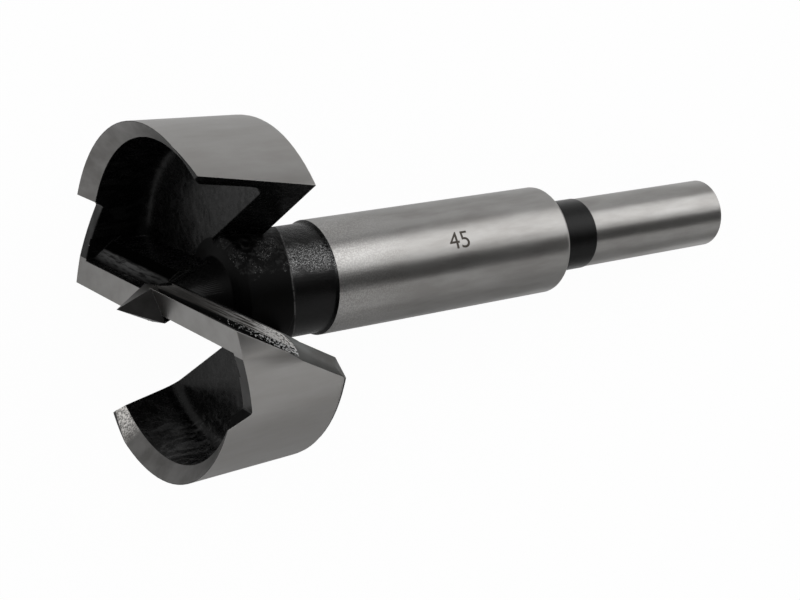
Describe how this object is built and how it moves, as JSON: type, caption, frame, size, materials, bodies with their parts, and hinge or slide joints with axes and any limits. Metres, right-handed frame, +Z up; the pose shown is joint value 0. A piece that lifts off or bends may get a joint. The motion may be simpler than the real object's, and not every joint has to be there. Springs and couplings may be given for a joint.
{
  "type": "forstner bit",
  "caption": "Forstner bit with a plain rim: a cup-shaped cutting head with two chisel lifters and a centre spur on a stepped round shank, for boring flat-bottomed 45 mm holes in wood.",
  "frame": {"origin": "on the surface that the bit lies on, under the middle of its outline", "axes": "+Z up; the bit lies along X with its spur towards -X and its shank towards +X, the shank end touching the surface"},
  "size_m": [0.0974, 0.045, 0.0433],
  "materials": {
    "steel": "ground outside, rim and cutting faces; blackened forging in the pockets, gullets and hub"
  },
  "bodies": {
    "root": {"forstner_bit": "steel"}
  },
  "joints": []
}
